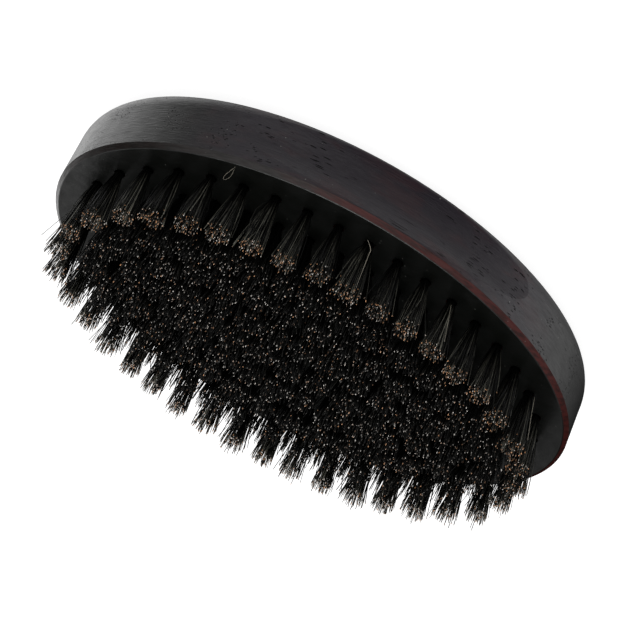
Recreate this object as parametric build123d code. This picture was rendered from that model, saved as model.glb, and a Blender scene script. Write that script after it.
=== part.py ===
"""Oval palm brush for a beard: a wooden block with staple-set bristle tufts.

Millimetres, +Z up. The brush lies on its wooden back with the bristles up.
The origin is the centre of the back's flat land, X runs along the long axis
and Y across it. -Y is called the front and +X the right.
"""
from build123d import *
from bisect import bisect
from math import cos, dist, pi, sin
import os

# Wooden block
FACE_LENGTH = 110.0          # oval bristle face, inside its bevelled edge
FACE_WIDTH = 66.0
BLOCK_HEIGHT = 18.5
FACE_BEVEL = 0.95            # bevel round the bristle face
BEVEL_SOFTENING = 0.25       # radius on the bevel's two edges
BACK_RADIUS = 6.5            # rounding between the wall and the back

# Finger grooves, one along each long wall: a tube bent to a flatter arc than
# the wall's own curve, so that the cut fades out towards both ends
GROOVE_DEPTH = 2.0
GROOVE_RADIUS = 17.5
GROOVE_PATH_RADIUS = 145.5
GROOVE_BELOW_FACE = 9.4
GROOVE_LIP_RADIUS = 0.6

# Bristle tufts
BRISTLE_HEIGHT = 14.0        # trimmed level above the face
TUFT_TIP_RADIUS = 2.45
TUFT_ROOT_RADIUS = 1.08
EDGE_MARGIN = 5.6            # face edge to the outer ring's centre line
RING_PITCH = 6.85
RINGS = (                    # name, number of tufts, first tuft in spacings
    ("outer", 38, 0.5),
    ("second", 32, 0.5),
    ("third", 26, 0.5),
    ("inner", 20, 0.0),      # its sharp ends each need a tuft on the tip
)
CENTRE_ROW_COUNT = 7
CENTRE_ROW_LENGTH = 38.4

# Blind holes and the flat wire anchors that hold the tufts
HOLE_RADIUS = 1.1
HOLE_DEPTH = 7.0
DRILL_POINT = 0.6
ANCHOR_LENGTH = 3.0          # its ends bite into the wood each side of the hole
ANCHOR_THICKNESS = 0.3
ANCHOR_HEIGHT = 1.5
ANCHOR_ABOVE_FLOOR = 0.6     # room for the bristles' fold under the anchor
ANCHOR_ANGLE = 45.0
FOLD_GAP = 0.05              # fold to the hole's floor

HALF_LENGTH = FACE_LENGTH / 2
HALF_WIDTH = FACE_WIDTH / 2
HOLE_FLOOR = BLOCK_HEIGHT - HOLE_DEPTH
ON_AXIS = 0.05               # a tuft this near a dividing plane counts as on it
OVAL_STEPS = 36000           # fine steps that measure the way round an oval

QUARTERS = {
    "front_right": (1, -1),
    "back_right": (1, 1),
    "back_left": (-1, 1),
    "front_left": (-1, -1),
}


def ring_points(x_radius, y_radius, count, first):
    """Points evenly spaced along an oval, the first one past its right end."""
    angles = [2 * pi * step / OVAL_STEPS for step in range(OVAL_STEPS + 1)]
    outline = [(x_radius * cos(angle), y_radius * sin(angle)) for angle in angles]
    travelled = [0.0]
    for start, end in zip(outline, outline[1:]):
        travelled.append(travelled[-1] + dist(start, end))
    spacing = travelled[-1] / count
    places = [(first + step) * spacing for step in range(count)]
    return [Vector(*outline[bisect(travelled, place) - 1]) for place in places]


def row_points(length, count):
    """Evenly spaced points along the long axis."""
    spacing = length / (count - 1)
    return [Vector(step * spacing - length / 2, 0, 0) for step in range(count)]


def in_quarter(point, side_x, side_y):
    """Whether a point lies in a quarter; on an axis counts as right or back."""
    right = point.X > -ON_AXIS
    back = point.Y > -ON_AXIS
    return right == (side_x > 0) and back == (side_y > 0)


def tuft_groups():
    """Tuft positions by group name: four quarters of each ring, and the row."""
    groups = {}
    for ring, (name, count, first) in enumerate(RINGS):
        inset = EDGE_MARGIN + ring * RING_PITCH
        points = ring_points(HALF_LENGTH - inset, HALF_WIDTH - inset, count, first)
        for quarter, (side_x, side_y) in QUARTERS.items():
            chosen = [p for p in points if in_quarter(p, side_x, side_y)]
            groups[f"{name}_{quarter}"] = chosen
    groups["centre_row"] = row_points(CENTRE_ROW_LENGTH, CENTRE_ROW_COUNT)
    return groups


def anchor():
    """One flat wire anchor at its height, over the origin."""
    plate = Box(ANCHOR_LENGTH, ANCHOR_THICKNESS, ANCHOR_HEIGHT)
    middle = HOLE_FLOOR + ANCHOR_ABOVE_FLOOR + ANCHOR_HEIGHT / 2
    return Pos(0, 0, middle) * Rot(0, 0, ANCHOR_ANGLE) * plate


def tuft():
    """One bundle of bristles: a packed root, folded round its anchor, and a fan."""
    root_height = HOLE_DEPTH - FOLD_GAP
    upright = (Align.CENTER, Align.CENTER, Align.MIN)
    root = Cylinder(TUFT_ROOT_RADIUS, root_height, align=upright)
    fan = Cone(TUFT_ROOT_RADIUS, TUFT_TIP_RADIUS, BRISTLE_HEIGHT, align=upright)
    bundle = Pos(0, 0, HOLE_FLOOR + FOLD_GAP) * root + Pos(0, 0, BLOCK_HEIGHT) * fan
    return bundle - anchor()


def hole():
    """The drilled hole with its conical floor, as a cutter over the origin."""
    upright = (Align.CENTER, Align.CENTER, Align.MIN)
    bore = Pos(0, 0, HOLE_FLOOR) * Cylinder(HOLE_RADIUS, HOLE_DEPTH, align=upright)
    point = Cone(HOLE_RADIUS / 10, HOLE_RADIUS, DRILL_POINT, align=upright)
    return bore + Pos(0, 0, HOLE_FLOOR - DRILL_POINT) * point + anchor()


def groove(side_y):
    """The bent tube that cuts one finger groove, on the wall towards side_y."""
    wall = HALF_WIDTH + FACE_BEVEL
    tube_centre = wall - GROOVE_DEPTH + GROOVE_RADIUS
    arc_centre = side_y * (tube_centre - GROOVE_PATH_RADIUS)
    height = BLOCK_HEIGHT - GROOVE_BELOW_FACE
    return Pos(0, arc_centre, height) * Torus(GROOVE_PATH_RADIUS, GROOVE_RADIUS)


def wooden_block(points):
    """The oval block with its rounded back, bevelled face, grooves and holes."""
    outline = Ellipse(HALF_LENGTH + FACE_BEVEL, HALF_WIDTH + FACE_BEVEL)
    block = extrude(outline, BLOCK_HEIGHT)
    block = fillet(block.edges().group_by(Axis.Z)[0], BACK_RADIUS)
    block = chamfer(block.edges().group_by(Axis.Z)[-1], FACE_BEVEL)
    bevel_edges = block.edges().group_by(Axis.Z)[-2:]
    block = fillet(bevel_edges[0] + bevel_edges[1], BEVEL_SOFTENING)
    for side_y in (-1, 1):
        before = block.edges()
        block = block - groove(side_y)
        lip = [edge for edge in block.edges() if edge not in before]
        block = fillet(lip, GROOVE_LIP_RADIUS)
    cutter = hole()
    return block - [Pos(p.X, p.Y, 0) * cutter for p in points]


def copies(shape, points):
    """Separate copies of one shape, one at each point."""
    return Compound(children=[Pos(p.X, p.Y, 0) * shape.solid() for p in points])


def main():
    os.makedirs("parts", exist_ok=True)
    groups = tuft_groups()
    every_point = [point for points in groups.values() for point in points]
    export_step(wooden_block(every_point), "parts/wooden_block.step")
    one_tuft = tuft()
    one_anchor = anchor()
    for name, points in groups.items():
        export_step(copies(one_tuft, points), f"parts/tufts_{name}.step")
        export_step(copies(one_anchor, points), f"parts/anchors_{name}.step")


main()
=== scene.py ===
import math

import bmesh
import bpy
import numpy as np
from bpy.props import FloatProperty, FloatVectorProperty, IntProperty, PointerProperty
from mathutils import Matrix, Vector


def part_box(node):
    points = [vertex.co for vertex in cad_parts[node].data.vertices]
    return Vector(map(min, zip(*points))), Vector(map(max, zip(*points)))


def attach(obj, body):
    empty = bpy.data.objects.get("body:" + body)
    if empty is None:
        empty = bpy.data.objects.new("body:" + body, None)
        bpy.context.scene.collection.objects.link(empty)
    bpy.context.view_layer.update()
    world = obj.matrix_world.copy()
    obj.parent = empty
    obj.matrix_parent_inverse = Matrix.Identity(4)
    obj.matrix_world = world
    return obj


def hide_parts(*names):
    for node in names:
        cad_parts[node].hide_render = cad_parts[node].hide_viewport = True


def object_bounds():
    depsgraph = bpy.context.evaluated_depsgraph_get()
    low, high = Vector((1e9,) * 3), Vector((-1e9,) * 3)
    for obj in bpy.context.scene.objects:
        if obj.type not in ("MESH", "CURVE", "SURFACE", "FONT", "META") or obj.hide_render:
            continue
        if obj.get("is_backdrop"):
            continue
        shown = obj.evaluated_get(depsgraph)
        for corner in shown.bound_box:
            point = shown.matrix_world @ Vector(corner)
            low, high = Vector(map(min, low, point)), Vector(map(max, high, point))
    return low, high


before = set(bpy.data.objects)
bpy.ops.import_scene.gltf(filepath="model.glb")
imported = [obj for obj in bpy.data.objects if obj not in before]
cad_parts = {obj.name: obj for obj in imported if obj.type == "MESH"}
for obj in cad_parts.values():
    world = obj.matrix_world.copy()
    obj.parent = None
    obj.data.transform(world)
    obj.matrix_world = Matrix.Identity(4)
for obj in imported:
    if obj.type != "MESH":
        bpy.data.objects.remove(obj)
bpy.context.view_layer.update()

bl_info = {
    "name": "Beard Brush",
    "version": (1, 0, 0),
    "blender": (4, 5, 0),
    "location": "3D View > Sidebar > Beard Brush",
    "description": "Finishes an oval palm brush with a stained block and boar bristle tufts",
    "category": "Add Mesh",
}

MM = 0.001                       # metres in a millimetre
HALF_LENGTH, HALF_WIDTH, FACE_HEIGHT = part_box("wooden_block")[1]
NODE_NAMES = sorted(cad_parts)

# Loose pale hairs: name, points and thickness in millimetres
STRAY_HAIRS = (
    ("stray_hair_kinked",
     ((1, -30, 20), (-0.5, -29.5, 21), (-0.5, -29, 22), (-1, -29, 32.3)), 0.12),
    ("stray_hair_yellow", ((-19, -27, 20.5), (-19.5, -28, 25), (-20, -30, 32.3)), 0.10),
    ("stray_hair_bowed", ((32, -21.5, 20), (33.5, -21, 26), (32.5, -18.5, 32.2)), 0.12),
    ("stray_hair_right", ((-43, -17, 21), (-43.5, -17.5, 26), (-44.5, -18, 32.3)), 0.09),
    ("loose_fibre",
     ((29, -27, 18.8), (28.5, -25, 19), (29.5, -22.5, 18.8), (30, -24.5, 19.2),
      (29, -27.5, 18.8)), 0.06),
)
STRAY_TAPER = 0.55               # thickness of a stray hair's ends, against its middle

# How far each tuft and each bristle strays from an even fan. Reaches and jitter are in
# radii of the tuft, shares are of its hairs
END_JITTER = 0.10
GOLDEN_ANGLE = math.pi * (3 - math.sqrt(5))      # spreads the hairs evenly over a disc
BUNCHES = 11                     # small bunches in which the ends gather
BUNCH_REACH = 0.85
BUNCH_PULL = (0.2, 1.4)          # least and most that a hair follows its bunch
UNRULY_REACH = (1.15, 1.75)
TUFT_SIZE_JITTER = 0.06
TUFT_SHIFT = 0.20 * MM
TUFT_HEIGHT_JITTER = 0.10 * MM
TRIM_ABOVE = 0.12 * MM           # longest even hairs above the plain tuft's top
SHORT_SHARE, SHORT_BY = 0.12, (0.2 * MM, 1.6 * MM)
LONG_SHARE, LONG_BY = 0.06, (0.2 * MM, 0.7 * MM)
BOW = 0.18 * MM                  # usual bow of a hair between the face and its end
BENT_SHARE, BENT_TIMES = 0.12, 3
THICKNESS_RANGE = (0.75, 1.35)   # thinnest and thickest hair, against the usual one
LIGHT_END_RANGE = (0.10, 0.40)   # millimetres of a cut end that are light
FRONT_TONES = (0.0, 0.85)        # tan and pale ends
OTHER_TONES = (0.36, 1.0)        # mostly pale ends
RINGS_IN_HAIR = (0, 0.25, 0.5, 0.75)     # shares of the free length where a hair can bend

# Soft panels of the light tent: which one, azimuth from the right and elevation of its
# middle, half the angle that it fills, all in degrees, and its brightness
TENT_PANELS = (
    ("right window", 30, -28, 52, 1.3),
    ("left window", 205, -18, 42, 0.8),
    ("front strip", 300, -18, 34, 0.5),
    ("below", 250, -60, 75, 0.35),
    ("back window", 80, 5, 38, 0.8),
    ("upper right", 50, 52, 48, 0.6),
    ("upper front", 290, 50, 46, 0.8),
    ("upper left", 200, 58, 45, 0.65),
)
AIM_SHIFT = (-1.7 * MM, 0.9 * MM, -0.25 * MM)    # camera's aim, from the model's middle
SWEEP_RADIUS, SWEEP_HEIGHT = 3, 4                # metres of floor and backdrop

# Small marks on the wood: size of the cell that holds one, in millimetres, and colour
PORE_CELL, PORE_COLOUR = (9.0, 0.42, 0.42), (0.0012, 0.0010, 0.0010)
DUST_CELL, DUST_COLOUR = (1.3, 1.3, 1.3), (0.30, 0.30, 0.28)
# colour of the painted shade on the face between the tufts
FACE_PAINTED_SHADE = (0.0024, 0.0028, 0.0022)


# ---------------------------------------------------------------- settings

class BristleSettings(bpy.types.PropertyGroup):
    """Sizes and colours of the boar bristles."""

    hairs: IntProperty(
        name="Hairs in a tuft", description="Bristle ends that stand up from one hole",
        default=104, min=20, max=400)
    sides: IntProperty(
        name="Sides", description="Sides of a bristle's cross section",
        default=5, min=3, max=8)
    root_width: FloatProperty(
        name="Root width", description="Thickness of a bristle where it leaves its hole",
        default=0.17 * MM, unit="LENGTH", precision=5)
    tip_width: FloatProperty(
        name="Tip width", description="Thickness of a bristle at its cut end",
        default=0.135 * MM, unit="LENGTH", precision=5)
    root_reach: FloatProperty(
        name="Root reach", description="Radius of a bundle where it leaves its hole",
        default=0.85 * MM, unit="LENGTH", precision=5)
    unruly: FloatProperty(
        name="Unruly hairs", description="Share of the hairs that stand out of their tuft",
        default=0.12, min=0, max=1, subtype="FACTOR")
    # the share of light cut ends differs by ring as painted light and shade, fewest inside the
    # outer ring; which ends are light is random
    front_darkness: FloatProperty(
        name="Front darkness",
        description="How few of the outer ring's cut ends in front are light",
        default=2.0, min=0.1)
    back_darkness: FloatProperty(
        name="Back darkness",
        description="How few of the outer ring's cut ends at the back are light",
        default=1.0, min=0.1)
    inner_end_shade: FloatProperty(
        name="Inner darkness", description="How few of the other cut ends are light",
        default=6.0, min=0.1)
    # painted shade: the shafts inside the outer ring keep only a small part of their lighter
    # colour and painted glint
    shaded_inner_shafts: FloatProperty(
        name="Inner light bristles", description="Lightness of shafts inside the outer ring",
        default=0.07, min=0, max=1, subtype="FACTOR")
    light_rarity: FloatProperty(
        name="Light bristle rarity",
        description="How few of the bristles are light along their length",
        default=6.5, min=0.1)
    trim_spread: FloatProperty(
        name="Trim unevenness", description="Usual difference in height between cut ends",
        default=0.28 * MM, unit="LENGTH", precision=5)
    lean: FloatProperty(
        name="Outward lean", description="How far the outer tufts lean away from the middle",
        default=math.radians(2.0), subtype="ANGLE")
    clumping: FloatProperty(
        name="Clumping", description="How much the ends gather in small bunches",
        default=0.10, min=0, max=1, subtype="FACTOR")
    colour: FloatVectorProperty(
        name="Bristle", description="Colour along a bristle", subtype="COLOR",
        default=(0.0012, 0.0013, 0.0012), min=0, max=1)
    # the lighter bristles' colour is partly their own and partly painted glint
    light_shaft_and_glint: FloatVectorProperty(
        name="Light bristle", description="Colour of the few lighter bristles", subtype="COLOR",
        default=(0.20, 0.195, 0.16), min=0, max=1)
    cut_colour: FloatVectorProperty(
        name="Cut end", description="Tan colour of a freshly cut end", subtype="COLOR",
        default=(0.82, 0.43, 0.22), min=0, max=1)
    pale_colour: FloatVectorProperty(
        name="Pale end", description="Colour of the lightest cut ends", subtype="COLOR",
        default=(0.86, 0.82, 0.76), min=0, max=1)
    seed: IntProperty(
        name="Seed", description="Starting number for the tufts' unevenness", default=17)


class WoodSettings(bpy.types.PropertyGroup):
    """Colours and finish of the stained block."""

    stain: FloatVectorProperty(
        name="Stain", description="Ebony stain over the whole block", subtype="COLOR",
        default=(0.0040, 0.0043, 0.0038), min=0, max=1)
    sheen: FloatVectorProperty(
        name="Wall tint", description="Purple cast of the stain on the wall's long sides",
        subtype="COLOR", default=(0.013, 0.008, 0.015), min=0, max=1)
    undertone: FloatVectorProperty(
        name="Undertone", description="Wood that shows through the stain in patches",
        subtype="COLOR", default=(0.040, 0.009, 0.013), min=0, max=1)
    worn: FloatVectorProperty(
        name="Rubbed edge", description="Red-brown wood where the bevel is rubbed",
        subtype="COLOR", default=(0.062, 0.0125, 0.0108), min=0, max=1)
    roughness: FloatProperty(
        name="Roughness", description="Roughness of the satin lacquer", default=0.36,
        min=0, max=1, subtype="FACTOR")
    pore_depth: FloatProperty(
        name="Pore depth", description="Depth of the open pores", default=0.10 * MM,
        unit="LENGTH", precision=5)


class StageSettings(bpy.types.PropertyGroup):
    """Camera, floor and light."""

    azimuth: FloatProperty(
        name="Azimuth", description="Camera's turn from the front towards the right",
        default=math.radians(8.18), subtype="ANGLE")
    elevation: FloatProperty(
        name="Elevation", description="Camera's height above the horizon",
        default=math.radians(41.0), subtype="ANGLE")
    roll: FloatProperty(
        name="Roll", description="Turn of the camera about its own line of sight",
        default=math.radians(155.05), subtype="ANGLE")
    distance: FloatProperty(
        name="Distance", description="Camera to the point it looks at",
        default=585.7 * MM, unit="LENGTH")
    lens: FloatProperty(
        name="Focal length", description="Camera's focal length", default=168.75,
        min=1, subtype="DISTANCE_CAMERA")
    sheet_glow: FloatProperty(
        name="Sheet glow", description="Brightness of the backlit floor and backdrop",
        default=0.90)
    tent_light: FloatProperty(
        name="Tent light", description="Brightness of all the panels of the light tent",
        default=1.0)
    panel_core: FloatProperty(
        name="Panel core", description="Share of a panel that is evenly bright, before it fades",
        default=0.3, min=0, max=0.9, subtype="FACTOR")
    top_light: FloatProperty(
        name="Top light", description="Brightness of the soft box above", default=8.0)
    top_width: FloatProperty(
        name="Top width", description="Width of the soft box above", default=0.36, unit="LENGTH")
    top_height: FloatProperty(
        name="Top height", description="Height of the soft box above", default=0.80,
        unit="LENGTH")


class BrushSettings(bpy.types.PropertyGroup):
    """Everything that the panel shows."""

    bristles: PointerProperty(type=BristleSettings)
    wood: PointerProperty(type=WoodSettings)
    stage: PointerProperty(type=StageSettings)


# ---------------------------------------------------------------- materials

class Finish:
    """A node material being laid out, with a principled shader at its end."""

    def __init__(self, name):
        self.material = bpy.data.materials.new(name)
        self.material.use_nodes = True
        self.tree = self.material.node_tree
        self.tree.nodes.clear()
        self.shader = self.add("ShaderNodeBsdfPrincipled")
        output = self.add("ShaderNodeOutputMaterial")
        self.tree.links.new(self.shader.outputs["BSDF"], output.inputs["Surface"])

    def give(self, socket, value):
        """Link a socket to another one, or set it to a plain value."""
        if isinstance(value, bpy.types.NodeSocket):
            self.tree.links.new(value, socket)
        else:
            socket.default_value = value

    def add(self, kind, inputs=(), **settings):
        """Add a node with its settings and inputs."""
        node = self.tree.nodes.new(kind)
        for name, value in settings.items():
            setattr(node, name, value)
        for name, value in dict(inputs).items():
            self.give(node.inputs[name], value)
        return node

    def surface(self, **inputs):
        """Set the shader's inputs, named with underscores for spaces."""
        for name, value in inputs.items():
            self.give(self.shader.inputs[name.replace("_", " ")], value)

    def millimetres(self, stretch=(1, 1, 1)):
        """Object coordinates in millimetres, divided by the size of the pattern."""
        place = self.add("ShaderNodeTexCoord").outputs["Object"]
        scale = [1 / (MM * size) for size in stretch]
        mapping = self.add("ShaderNodeMapping", {"Vector": place, "Scale": scale})
        return mapping.outputs["Vector"]

    def coordinate(self, axis):
        """One object coordinate in millimetres."""
        split = self.add("ShaderNodeSeparateXYZ", {"Vector": self.millimetres()})
        return split.outputs[axis]

    def noise(self, size, detail=2.0, roughness=0.5, distortion=0.0):
        """Noise from 0 to 1, with features of a size in millimetres along x, y and z."""
        inputs = {"Vector": self.millimetres(size), "Scale": 1.0, "Detail": detail,
                  "Roughness": roughness, "Distortion": distortion}
        return self.add("ShaderNodeTexNoise", inputs).outputs["Fac"]

    def cells(self, size):
        """Distance to a cell's centre and the cell's own random number."""
        inputs = {"Vector": self.millimetres(size), "Scale": 1.0}
        node = self.add("ShaderNodeTexVoronoi", inputs, feature="F1")
        split = self.add("ShaderNodeSeparateColor", {"Color": node.outputs["Color"]})
        return node.outputs["Distance"], split.outputs["Red"]

    def attribute(self, name):
        """A number stored on the mesh."""
        return self.add("ShaderNodeAttribute", attribute_name=name).outputs["Fac"]

    def ramp(self, value, low, high, to_low=0.0, to_high=1.0):
        """Map low..high to to_low..to_high smoothly, clamped."""
        inputs = {"Value": value, "From Min": low, "From Max": high,
                  "To Min": to_low, "To Max": to_high}
        node = self.add("ShaderNodeMapRange", inputs, interpolation_type="SMOOTHSTEP")
        return node.outputs["Result"]

    def sum(self, first, second):
        """Add two numbers."""
        return self.maths("ADD", first, second)

    def product(self, first, second):
        """Multiply two numbers."""
        return self.maths("MULTIPLY", first, second)

    def maths(self, operation, first, second):
        """Work on two numbers, by the name of the operation."""
        node = self.add("ShaderNodeMath", operation=operation)
        self.give(node.inputs[0], first)
        self.give(node.inputs[1], second)
        return node.outputs["Value"]

    def mix(self, factor, first, second):
        """Mix two colours."""
        node = self.add("ShaderNodeMix", data_type="RGBA")
        self.give(node.inputs["Factor"], factor)
        for socket, value in ((node.inputs[6], first), (node.inputs[7], second)):
            self.give(socket, value if isinstance(value, bpy.types.NodeSocket) else (*value, 1))
        return node.outputs[2]

    def mix_number(self, factor, first, second):
        """Mix two numbers."""
        node = self.add("ShaderNodeMix", data_type="FLOAT")
        for socket, value in zip(node.inputs[:1] + node.inputs[2:4], (factor, first, second)):
            self.give(socket, value)
        return node.outputs[0]

    def bump(self, height, depth, under=None):
        """A relief of that depth in metres, over another one if given."""
        node = self.add("ShaderNodeBump", {"Height": height, "Distance": depth})
        if under is not None:
            self.give(node.inputs["Normal"], under)
        return node.outputs["Normal"]


def add_pores(finish, wall, from_middle):
    """Open pores of the wall: short dashes along the grain, in loose clusters."""
    # most of them lie between the middle and the ends of the long sides
    distance, chance = finish.cells(PORE_CELL)
    quarters = finish.product(finish.ramp(from_middle, 6, 16),
                              finish.ramp(from_middle, 28, 38, 1, 0))
    gathered = finish.sum(finish.noise((11, 4, 4)), finish.product(quarters, 0.10))
    clusters = finish.ramp(gathered, 0.52, 0.60)
    dashes = finish.product(finish.ramp(distance, 0.20, 0.32, 1, 0),
                            finish.ramp(chance, 0.58, 0.62))
    return finish.product(finish.product(dashes, clusters), wall)


def add_dust(finish, wall):
    """A few specks of dust, fainter on the face than on the wall."""
    distance, chance = finish.cells(DUST_CELL)
    specks = finish.product(finish.ramp(distance, 0.04, 0.10, 1, 0),
                            finish.ramp(chance, 0.80, 0.82))
    return finish.product(specks, finish.ramp(wall, 0, 1, 0.3, 1))


def stained_wood(settings):
    """Ebony stain over open-pored wood, rubbed through to red-brown on the bevel.

    Heights, places and sizes of patterns are in millimetres.
    """
    finish = Finish("ebony_stained_wood")
    height = finish.coordinate("Z")
    top = FACE_HEIGHT / MM
    across = finish.coordinate("X")
    from_middle = finish.maths("ABSOLUTE", across, 0.0)
    wall = finish.ramp(height, top - 1.2, top - 0.9, 1, 0)
    long_side = finish.product(wall, finish.ramp(from_middle, 30, 44, 1, 0))
    patches = finish.ramp(finish.noise((13, 5, 5), detail=3), 0.50, 0.66)
    streaks = finish.noise((11, 0.45, 0.45), detail=3)
    patches = finish.product(finish.product(patches, long_side),
                             finish.ramp(streaks, 0.2, 0.8, 0.2, 0.7))
    stain = finish.mix(long_side, settings.stain, settings.sheen)
    colour = finish.mix(patches, stain, settings.undertone)

    # the bevel round the face, rubbed most towards the left
    bevel = finish.product(finish.ramp(height, top - 1.15, top - 0.85),
                           finish.ramp(height, top - 0.16, top - 0.04, 1, 0))
    along = finish.product(finish.ramp(across, 2, 26, 1.0, 0.08),
                           finish.ramp(across, -56, -42, 0.70, 1.0))
    rubbing = finish.ramp(finish.noise((5, 0.7, 0.7), detail=4), 0.32, 0.60, 0.40, 1.0)
    worn = finish.product(finish.product(bevel, along), rubbing)
    colour = finish.mix(worn, colour, settings.worn)

    # painted shade: the face is painted near black between the tufts, where the bristles shade
    # it and darken its reflection, and its lacquer is thinner there; its two ends are left clear
    face = finish.ramp(height, top - 0.10, top - 0.02)
    painted_face_shade = finish.product(face, finish.ramp(from_middle, 40, 52, 1.0, 0.0))
    colour = finish.mix(painted_face_shade, colour, FACE_PAINTED_SHADE)

    pores = add_pores(finish, wall, from_middle)
    colour = finish.mix(pores, colour, PORE_COLOUR)
    colour = finish.mix(add_dust(finish, wall), colour, DUST_COLOUR)

    # satin in soft clouds, rougher in the pores, over streaks and turning marks
    cloud = finish.noise((6, 2.5, 2.5), detail=4)
    low, high = settings.roughness - 0.06, settings.roughness + 0.08
    roughness = finish.ramp(cloud, 0.3, 0.7, low, high)
    roughness = finish.sum(roughness, finish.product(pores, 0.3))
    ripples = finish.noise((2.2, 2.2, 0.28), detail=3)
    relief = finish.bump(streaks, 0.010 * MM)
    relief = finish.bump(ripples, 0.060 * MM, relief)
    relief = finish.bump(finish.maths("SUBTRACT", 1.0, pores), settings.pore_depth, relief)

    # the lacquer is brushed, missing in the pores and thin on the bevel and on the face's
    # painted shade
    brushed = finish.ramp(finish.noise((2.4, 2.4, 0.22), detail=4),
                          0.34, 0.66, 0.60, 0.90)
    lacquer = finish.product(brushed, finish.ramp(pores, 0.0, 0.6, 1.0, 0.02))
    bevel_shine = finish.ramp(across, 2, 20, 0.35, 1.0)
    lacquer = finish.product(lacquer, finish.mix_number(bevel, 1.0, bevel_shine))
    lacquer = finish.product(lacquer, finish.ramp(painted_face_shade, 0.0, 1.0, 1.0, 0.30))
    finish.surface(Base_Color=colour, Roughness=roughness, Normal=relief,
                   Specular_IOR_Level=0.14, Coat_Weight=lacquer, Coat_Roughness=0.26,
                   Coat_Normal=relief)
    return finish.material


def boar_bristle(settings):
    """Glossy black hair with tan and pale cut ends, painted glints on its few lighter shafts and
    painted shade towards the roots.
    """
    finish = Finish("glossy_boar_hair")
    below = finish.attribute("from_tip")      # millimetres below the hair's own cut end
    fade = finish.attribute("fade")           # millimetres of it that are light
    tone = finish.attribute("tone")           # the hair's own random number
    light_end = finish.ramp(finish.maths("DIVIDE", below, fade), 0.55, 1.0, 1.0, 0.0)
    cut = finish.mix(finish.ramp(tone, 0.35, 0.70), settings.cut_colour, settings.pale_colour)
    strength = finish.attribute("lightness")
    # most shafts are black and a few are lighter; that lighter colour also serves as painted
    # glints, broken into flecks along the hair, and fades into painted shade towards the root
    flecks = finish.ramp(finish.noise((0.6, 0.6, 2.4), detail=2), 0.30, 0.62, 0.35, 1.0)
    above = finish.maths("SUBTRACT", finish.coordinate("Z"), FACE_HEIGHT / MM)
    light_shaft_and_glint = finish.product(finish.attribute("light_shaft_and_glint"), finish.ramp(above, 0.5, 6.5))
    shaft = finish.mix(finish.product(light_shaft_and_glint, flecks), settings.colour,
                       settings.light_shaft_and_glint)
    colour = finish.mix(finish.product(light_end, strength), shaft, cut)
    roughness = finish.ramp(tone, 0.0, 1.0, 0.20, 0.40)
    finish.surface(Base_Color=colour, Roughness=roughness, Specular_IOR_Level=0.20)
    return finish.material


def pale_bristle():
    """Undyed hair, cream to yellow, a little darker in bands."""
    finish = Finish("pale_boar_hair")
    bands = finish.noise((0.8, 0.8, 1.6), detail=2)
    colour = finish.mix(bands, (0.30, 0.26, 0.20), (0.62, 0.58, 0.48))
    finish.surface(Base_Color=colour, Roughness=finish.ramp(bands, 0.3, 0.7, 0.30, 0.45),
                   Specular_IOR_Level=0.5)
    return finish.material


def anchor_wire():
    """Flat steel wire, drawn along its length."""
    finish = Finish("drawn_steel_wire")
    lines = finish.noise((1.5, 1.5, 0.08), detail=3)
    colour = finish.mix(lines, (0.42, 0.41, 0.40), (0.62, 0.61, 0.60))
    finish.surface(Base_Color=colour, Metallic=1.0,
                   Roughness=finish.ramp(lines, 0.3, 0.7, 0.28, 0.45),
                   Normal=finish.bump(lines, 0.01 * MM))
    return finish.material


def pale_sheet(settings):
    """Backlit white sheet for the floor and the backdrop."""
    finish = Finish("pale_sheet")
    cloud = finish.noise((300, 300, 300))
    colour = finish.mix(cloud, (0.40, 0.40, 0.40), (0.44, 0.44, 0.44))
    finish.surface(Base_Color=colour, Roughness=0.9, Specular_IOR_Level=0.0,
                   Emission_Color=(1, 1, 1, 1), Emission_Strength=settings.sheet_glow)
    return finish.material


# ---------------------------------------------------------------- modelling

def deselect_all():
    """Leave edit mode and deselect every object."""
    if bpy.context.object and bpy.context.object.mode != "OBJECT":
        bpy.ops.object.mode_set(mode="OBJECT")
    bpy.ops.object.select_all(action="DESELECT")


def paint(node, material):
    """Give a CAD node or a piece one material."""
    if node.data.materials:
        for place in range(len(node.material_slots)):
            node.material_slots[place].material = material
    else:
        node.data.materials.append(material)


def model_hair(sides, cuts):
    """One straight bristle, a millimetre wide and one high, with rings at the cuts."""
    deselect_all()
    bpy.ops.mesh.primitive_cylinder_add(
        vertices=sides, radius=0.5, depth=1, end_fill_type="NGON", location=(0, 0, 0.5))
    hair = bpy.context.object
    bpy.ops.object.mode_set(mode="EDIT")
    for cut in cuts:
        bpy.ops.mesh.select_all(action="SELECT")
        bpy.ops.mesh.bisect(plane_co=(0, 0, cut), plane_no=(0, 0, 1))
    bpy.ops.object.mode_set(mode="OBJECT")
    bpy.ops.object.transform_apply(location=True, rotation=True, scale=True)
    mesh = hair.data
    corners = np.array([v.co[:] for v in mesh.vertices])
    faces = [tuple(face.vertices) for face in mesh.polygons]
    bpy.data.objects.remove(hair)
    return corners, faces


def tuft_places(node):
    """Centre of each tuft of a CAD node, in metres, from its separate solids."""
    solid = bmesh.new()
    solid.from_mesh(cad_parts[node].data)
    bmesh.ops.remove_doubles(solid, verts=solid.verts, dist=0.001 * MM)
    waiting = set(solid.verts)
    places = []
    while waiting:
        edge = [waiting.pop()]
        island = []
        while edge:
            corner = edge.pop()
            island.append(corner.co)
            for link in corner.link_edges:
                other = link.other_vert(corner)
                if other in waiting:
                    waiting.remove(other)
                    edge.append(other)
        low = [min(co[axis] for co in island) for axis in (0, 1)]
        high = [max(co[axis] for co in island) for axis in (0, 1)]
        places.append(((low[0] + high[0]) / 2, (low[1] + high[1]) / 2, (high[0] - low[0]) / 2))
    solid.free()
    return sorted(places)


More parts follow.
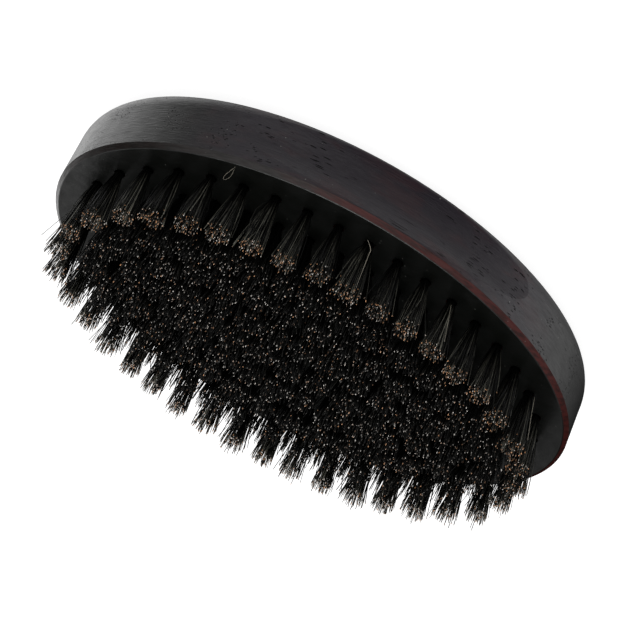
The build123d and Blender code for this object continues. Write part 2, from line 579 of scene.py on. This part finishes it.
def hair_paths(place, bottom, top, ring, settings, draw):
    """Root, tip and bow of every hair of one tuft, as arrays of points in metres."""
    x, y, radius = place
    count = settings.hairs
    reach = np.sqrt((np.arange(count) + 0.5) / count)
    turn = np.arange(count) * GOLDEN_ANGLE + draw.uniform(0, 2 * math.pi)
    disc = np.stack([reach * np.cos(turn), reach * np.sin(turn)], 1)

    roots = disc * (settings.root_reach - settings.root_width / 2)
    tips = disc + draw.normal(0, END_JITTER, (count, 2))
    bunches = draw.uniform(-BUNCH_REACH, BUNCH_REACH, (BUNCHES, 2))
    nearest = np.argmin(((tips[:, None] - bunches[None]) ** 2).sum(2), 1)
    pull = draw.uniform(*BUNCH_PULL, (count, 1))
    tips += (bunches[nearest] - tips) * settings.clumping * pull
    unruly = draw.random((count, 1)) < settings.unruly * ring.unruliness
    tips *= np.where(unruly, draw.uniform(*UNRULY_REACH, (count, 1)), 1.0)
    tips *= radius * ring.fan * draw.normal(1, TUFT_SIZE_JITTER)

    # the tuft leans a little, outwards near the edge
    out = np.array([x / HALF_LENGTH, y / HALF_WIDTH])
    tips += out * np.linalg.norm(out) ** 2 * math.tan(settings.lean) * (top - FACE_HEIGHT)
    tips += draw.normal(0, TUFT_SHIFT, 2)

    short = np.abs(draw.normal(0, settings.trim_spread, count))
    short += (draw.random(count) < SHORT_SHARE) * draw.uniform(*SHORT_BY, count)
    short -= (draw.random(count) < LONG_SHARE) * draw.uniform(*LONG_BY, count)
    heights = top + TRIM_ABOVE - short + draw.normal(0, TUFT_HEIGHT_JITTER)

    centre = np.array([x, y])
    root = np.column_stack([roots + centre, np.full(count, bottom)])
    tip = np.column_stack([tips + centre, heights])
    bow = draw.normal(0, BOW, (count, 2))
    bow[draw.random(count) < BENT_SHARE] *= BENT_TIMES
    return root, tip, bow


def bend_hairs(corners, root, tip, bow, spin, widths):
    """Corner positions of one hair modelled straight, bent along every path."""
    along = corners[:, 2]
    straight = (FACE_HEIGHT - root[:, 2:]) / (tip[:, 2:] - root[:, 2:])
    free = np.clip((along - straight) / (1 - straight), 0, 1)      # 0 at the face, 1 at the tip
    curve = np.sin(free * math.pi)
    across = root[:, None, :2] + (tip - root)[:, None, :2] * free[..., None]
    across = across + bow[:, None] * curve[..., None]
    width = widths[0] + (widths[1] - widths[0]) * free
    cos, sin = np.cos(spin)[:, None], np.sin(spin)[:, None]
    local_x = (corners[:, 0] * cos - corners[:, 1] * sin) * width
    local_y = (corners[:, 0] * sin + corners[:, 1] * cos) * width
    z = root[:, 2:] + (tip[:, 2:] - root[:, 2:]) * along
    return np.stack([across[..., 0] + local_x, across[..., 1] + local_y, z], -1)


def bristle_mesh(name, faces, hairs, numbers):
    """One mesh of many bent copies of a hair, with the numbers that its material reads."""
    count, per_hair = hairs.shape[:2]
    mesh = bpy.data.meshes.new(name)
    loops = np.concatenate([np.array(face) for face in faces])
    sizes = np.array([len(face) for face in faces])
    every_loop = (loops[None] + (np.arange(count) * per_hair)[:, None]).ravel()
    every_size = np.tile(sizes, count)
    starts = np.concatenate([[0], np.cumsum(every_size)[:-1]])
    mesh.vertices.add(count * per_hair)
    mesh.loops.add(len(every_loop))
    mesh.polygons.add(len(every_size))
    mesh.vertices.foreach_set("co", hairs.ravel())
    mesh.loops.foreach_set("vertex_index", every_loop)
    mesh.polygons.foreach_set("loop_start", starts)
    mesh.polygons.foreach_set("use_smooth", np.tile([len(face) == 4 for face in faces], count))
    numbers["from_tip"] = (hairs[:, :, 2].max(1)[:, None] - hairs[:, :, 2]) / MM
    for key, values in numbers.items():
        values = np.broadcast_to(values.reshape(count, -1), (count, per_hair))
        mesh.attributes.new(key, "FLOAT", "POINT").data.foreach_set("value", values.ravel())
    mesh.update()
    mesh.validate()
    return mesh


def add_stray_hair(name, points, width, material):
    """A loose hair along points in millimetres, tapered towards both ends."""
    deselect_all()
    curve = bpy.data.curves.new(name, "CURVE")
    curve.dimensions = "3D"
    curve.bevel_depth = width / 2
    curve.bevel_resolution = 1
    curve.use_fill_caps = True
    curve.resolution_u = 6
    line = curve.splines.new("NURBS")
    last = len(points) - 1
    line.points.add(last)
    for place, (point, corner) in enumerate(zip(points, line.points)):
        corner.co = (*(Vector(point) * MM), 1)
        corner.radius = STRAY_TAPER if place in (0, last) else 1.0
    line.order_u = 3
    line.use_endpoint_u = True
    hair = bpy.data.objects.new(name, curve)
    bpy.context.collection.objects.link(hair)
    hair.select_set(True)
    bpy.context.view_layer.objects.active = hair
    bpy.ops.object.convert(target="MESH")
    hair = bpy.context.object
    bpy.ops.object.mode_set(mode="EDIT")
    bpy.ops.mesh.select_all(action="SELECT")
    bpy.ops.mesh.remove_doubles(threshold=0.001 * MM)
    bpy.ops.mesh.normals_make_consistent(inside=False)
    bpy.ops.object.mode_set(mode="OBJECT")
    hair.data.materials.clear()
    hair.data.materials.append(material)
    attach(hair, "root")
    return hair


def add_tufts(node, ring, settings):
    """The bristles of one CAD node of tufts, as one piece."""
    draw = np.random.default_rng(settings.seed + NODE_NAMES.index(node))
    anchors = node.replace("tufts", "anchors")
    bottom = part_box(anchors)[1][2]          # the anchor grips the bristles at its upper edge
    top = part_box(node)[1][2]
    face = (FACE_HEIGHT - bottom) / (top - bottom)
    cuts = [face + (1 - face) * share for share in RINGS_IN_HAIR]
    corners, faces = model_hair(settings.sides, cuts)
    hairs = []
    for place in tuft_places(node):
        root, tip, bow = hair_paths(place, bottom, top, ring, settings, draw)
        spin = draw.uniform(0, 2 * math.pi, len(root))
        thickness = draw.uniform(*THICKNESS_RANGE, (len(root), 1))
        widths = (settings.root_width * thickness, settings.tip_width * thickness)
        hairs.append(bend_hairs(corners, root, tip, bow, spin, widths))
    hairs = np.concatenate(hairs)
    count = len(hairs)
    # inside the outer ring the cut ends and shafts are kept darker as painted shade
    tones, darkness, shown = OTHER_TONES, settings.inner_end_shade, settings.shaded_inner_shafts
    if "outer" in node:
        darkness, shown = settings.back_darkness, 1.0
    if "outer_front" in node:
        tones, darkness = FRONT_TONES, settings.front_darkness
    numbers = {"tone": draw.uniform(*tones, count),
               "fade": draw.uniform(*LIGHT_END_RANGE, count),
               "lightness": draw.random(count) ** darkness,
               "light_shaft_and_glint": shown * draw.random(count) ** settings.light_rarity}
    name = node.replace("tufts", "bristles")
    mesh = bristle_mesh(name, faces, hairs, numbers)
    piece = bpy.data.objects.new(name, mesh)
    bpy.context.collection.objects.link(piece)
    mesh.materials.append(bpy.data.materials.get("glossy_boar_hair") or boar_bristle(settings))
    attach(piece, "root")
    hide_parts(node)
    return piece


# ---------------------------------------------------------------- operators

class BRUSH_OT_stage(bpy.types.Operator):
    """Add the floor, the light tent, the lamps and the camera"""

    bl_idname = "beard_brush.stage"
    bl_label = "Stage"

    def execute(self, context):
        settings = context.scene.beard_brush.stage
        self.add_floor(settings)
        self.add_surroundings(context.scene, settings)
        self.add_lamps(settings)
        self.add_camera(context.scene, settings)
        context.scene.view_settings.view_transform = "Standard"
        return {"FINISHED"}

    def add_floor(self, settings):
        """A wide floor whose rim sweeps up into the backdrop, seen but not reflected."""
        deselect_all()
        bpy.ops.mesh.primitive_circle_add(vertices=96, radius=SWEEP_RADIUS, fill_type="NGON")
        sheet = bpy.context.object
        sheet.name = "floor"
        bpy.ops.object.mode_set(mode="EDIT")
        bpy.ops.mesh.select_all(action="SELECT")
        bpy.ops.mesh.extrude_region_move(
            TRANSFORM_OT_translate={"value": (0, 0, SWEEP_HEIGHT)})
        bpy.ops.mesh.select_mode(type="FACE")
        bpy.ops.mesh.delete(type="ONLY_FACE")
        bpy.ops.object.mode_set(mode="OBJECT")
        sheet.data.materials.append(pale_sheet(settings))
        sheet.visible_diffuse = False
        sheet.visible_glossy = False
        sheet.visible_shadow = False
        sheet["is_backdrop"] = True

    def add_surroundings(self, scene, settings):
        """A dark studio with the soft panels of a light tent all round."""
        world = bpy.data.worlds.new("light_tent")
        world.use_nodes = True
        nodes, links = world.node_tree.nodes, world.node_tree.links
        direction = nodes.new("ShaderNodeTexCoord").outputs["Generated"]
        total = None
        for _, azimuth, elevation, reach, brightness in TENT_PANELS:
            turn, rise = math.radians(azimuth), math.radians(elevation)
            facing = nodes.new("ShaderNodeVectorMath")
            facing.operation = "DOT_PRODUCT"
            facing.inputs[1].default_value = (
                math.cos(turn) * math.cos(rise), math.sin(turn) * math.cos(rise),
                math.sin(rise))
            links.new(direction, facing.inputs[0])
            glow = nodes.new("ShaderNodeMapRange")
            glow.interpolation_type = "SMOOTHSTEP"
            core = settings.panel_core * reach
            for name, value in (("From Min", math.cos(math.radians(reach))),
                                ("From Max", math.cos(math.radians(core))),
                                ("To Max", brightness * settings.tent_light)):
                glow.inputs[name].default_value = value
            links.new(facing.outputs["Value"], glow.inputs["Value"])
            if total is None:
                total = glow.outputs["Result"]
                continue
            adding = nodes.new("ShaderNodeMath")
            links.new(total, adding.inputs[0])
            links.new(glow.outputs["Result"], adding.inputs[1])
            total = adding.outputs["Value"]
        nodes["Background"].inputs["Color"].default_value = (1, 1, 1, 1)
        links.new(total, nodes["Background"].inputs["Strength"])
        scene.world = world

    def add_lamps(self, settings):
        """One round soft box straight above, which lights the cut ends."""
        lamp = bpy.data.lights.new("top_box", "AREA")
        lamp.shape = "DISK"
        lamp.size = settings.top_width
        lamp.energy = settings.top_light * (math.pi * settings.top_width / 2) ** 2
        holder = bpy.data.objects.new("top_box", lamp)
        holder.location = (0, 0, settings.top_height)
        bpy.context.collection.objects.link(holder)

    def add_camera(self, scene, settings):
        """The camera, turned about its own line of sight."""
        low, high = (Vector(corner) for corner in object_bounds())
        aim = (low + high) / 2 + Vector(AIM_SHIFT)
        turn, rise = settings.azimuth, settings.elevation
        back = Vector((math.sin(turn) * math.cos(rise), -math.cos(turn) * math.cos(rise),
                       math.sin(rise)))
        level = back.to_track_quat("Z", "Y").to_matrix()
        rotation = level @ Matrix.Rotation(-settings.roll, 3, "Z")
        data = bpy.data.cameras.new("camera")
        data.lens = settings.lens
        data.sensor_width = 36
        data.clip_end = 50
        camera = bpy.data.objects.new("camera", data)
        place = Matrix.Translation(aim + back * settings.distance)
        camera.matrix_world = place @ rotation.to_4x4()
        bpy.context.collection.objects.link(camera)
        scene.camera = camera


class BRUSH_OT_wooden_block(bpy.types.Operator):
    """Stain and lacquer the wooden block"""

    bl_idname = "beard_brush.wooden_block"
    bl_label = "Wooden block"

    def execute(self, context):
        paint(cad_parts["wooden_block"], stained_wood(context.scene.beard_brush.wood))
        return {"FINISHED"}


class BRUSH_OT_anchors(bpy.types.Operator):
    """Give the flat wire anchors their steel"""

    bl_idname = "beard_brush.anchors"
    bl_label = "Anchors"

    def execute(self, context):
        steel = anchor_wire()
        for name in NODE_NAMES:
            if name.startswith("anchors"):
                paint(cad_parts[name], steel)
        return {"FINISHED"}


class TuftOperator:
    """Adds the bristles of one ring, or of the centre row."""

    ring = ""
    fan = 1.30          # how far the tips spread, against the plain tuft
    unruliness = 1.0    # how many hairs stand out, against the share in the settings

    def execute(self, context):
        nodes = [name for name in NODE_NAMES if name.startswith(f"tufts_{self.ring}")]
        if not nodes:
            raise RuntimeError(f"the model has no {self.ring} tufts")
        for node in nodes:
            add_tufts(node, self, context.scene.beard_brush.bristles)
        return {"FINISHED"}


class BRUSH_OT_outer_ring(TuftOperator, bpy.types.Operator):
    """Add the bristles of the outer ring"""

    bl_idname = "beard_brush.outer_ring"
    bl_label = "Outer ring"
    ring = "outer"
    fan = 1.05
    unruliness = 0.45


class BRUSH_OT_second_ring(TuftOperator, bpy.types.Operator):
    """Add the bristles of the second ring"""

    bl_idname = "beard_brush.second_ring"
    bl_label = "Second ring"
    ring = "second"
    fan = 1.45


class BRUSH_OT_third_ring(TuftOperator, bpy.types.Operator):
    """Add the bristles of the third ring"""

    bl_idname = "beard_brush.third_ring"
    bl_label = "Third ring"
    ring = "third"


class BRUSH_OT_inner_ring(TuftOperator, bpy.types.Operator):
    """Add the bristles of the inner ring"""

    bl_idname = "beard_brush.inner_ring"
    bl_label = "Inner ring"
    ring = "inner"


class BRUSH_OT_centre_row(TuftOperator, bpy.types.Operator):
    """Add the bristles of the centre row"""

    bl_idname = "beard_brush.centre_row"
    bl_label = "Centre row"
    ring = "centre_row"


class BRUSH_OT_stray_hairs(bpy.types.Operator):
    """Add the few pale hairs that lie loose among the tufts and on the face"""

    bl_idname = "beard_brush.stray_hairs"
    bl_label = "Stray hairs"

    def execute(self, context):
        pale = pale_bristle()
        for name, points, width in STRAY_HAIRS:
            add_stray_hair(name, points, width * MM, pale)
        return {"FINISHED"}


OPERATORS = (
    BRUSH_OT_stage, BRUSH_OT_wooden_block, BRUSH_OT_anchors, BRUSH_OT_outer_ring,
    BRUSH_OT_second_ring, BRUSH_OT_third_ring, BRUSH_OT_inner_ring, BRUSH_OT_centre_row,
    BRUSH_OT_stray_hairs)


class BRUSH_PT_panel(bpy.types.Panel):
    """Settings and pieces of the beard brush"""

    bl_label = "Beard Brush"
    bl_idname = "BRUSH_PT_panel"
    bl_space_type = "VIEW_3D"
    bl_region_type = "UI"
    bl_category = "Beard Brush"

    def draw(self, context):
        brush = context.scene.beard_brush
        for settings in (brush.bristles, brush.wood, brush.stage):
            box = self.layout.box()
            for name in settings.__annotations__:
                box.prop(settings, name)
        for operator in OPERATORS:
            self.layout.operator(operator.bl_idname)


CLASSES = (
    BristleSettings, WoodSettings, StageSettings, BrushSettings, *OPERATORS, BRUSH_PT_panel)


def register():
    for item in CLASSES:
        bpy.utils.register_class(item)
    bpy.types.Scene.beard_brush = PointerProperty(type=BrushSettings)


def unregister():
    del bpy.types.Scene.beard_brush
    for item in reversed(CLASSES):
        bpy.utils.unregister_class(item)


def main():
    register()
    for operator in OPERATORS:
        group, name = operator.bl_idname.split(".")
        getattr(getattr(bpy.ops, group), name)()


if __name__ == "__main__":
    main()
